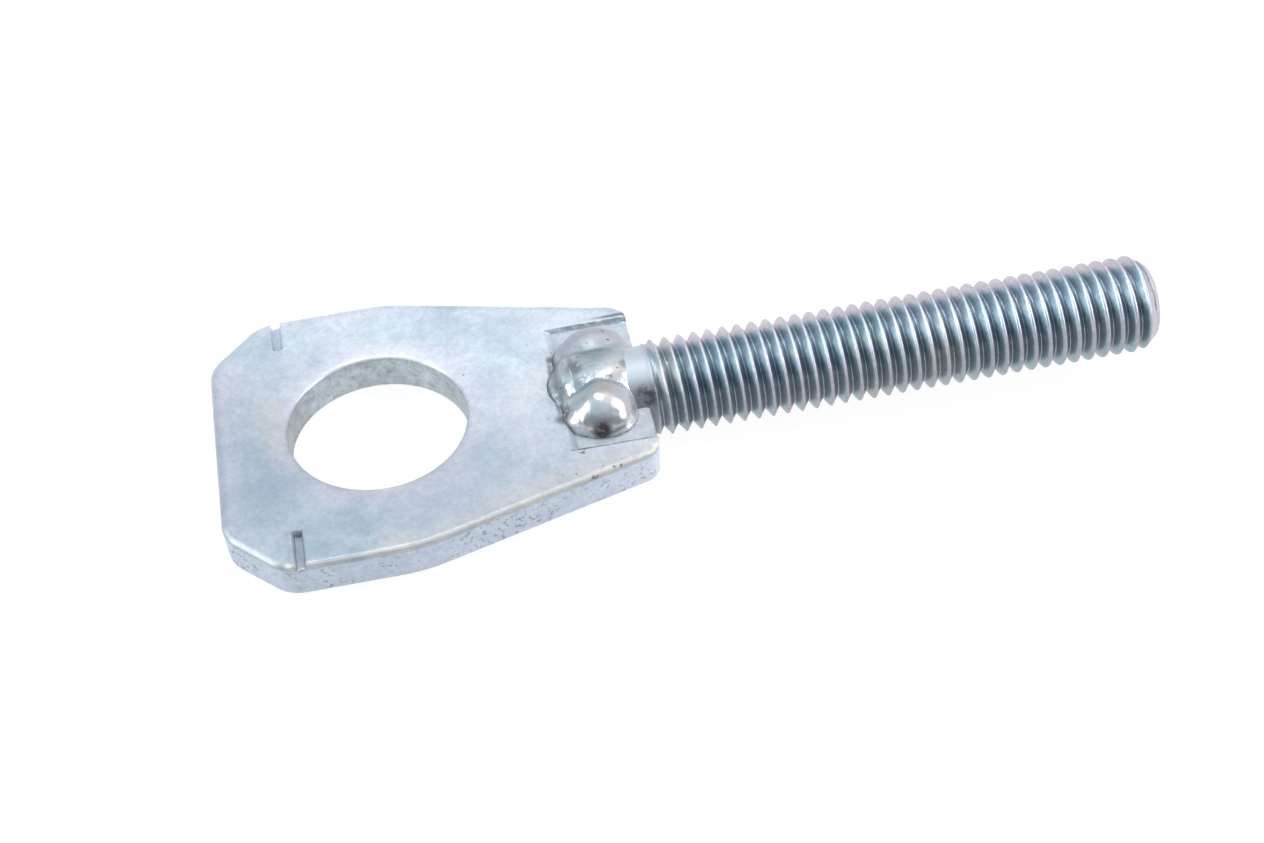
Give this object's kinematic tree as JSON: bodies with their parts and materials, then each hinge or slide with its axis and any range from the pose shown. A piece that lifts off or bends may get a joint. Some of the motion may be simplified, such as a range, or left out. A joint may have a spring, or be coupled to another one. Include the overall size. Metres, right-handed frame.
{
  "type": "motorcycle chain adjuster",
  "caption": "Zinc-plated chain adjuster: a stamped plate with an axle hole, chamfered end and alignment notches, welded to a right-hand threaded stud.",
  "frame": {"origin": "centre of the axle hole, halfway through the plate", "axes": "+X along the stud towards its threaded tip, +Z along the axle hole, out of the face with the alignment notches"},
  "size_m": [0.0963, 0.035, 0.0102],
  "materials": {
    "zinc_plate": "satin",
    "zinc_stud": "satin",
    "weld_metal": "gloss"
  },
  "bodies": {
    "root": {"axle_plate": "zinc_plate", "threaded_stud": "zinc_stud", "weld_top": "weld_metal", "weld_under": "weld_metal"}
  },
  "joints": []
}
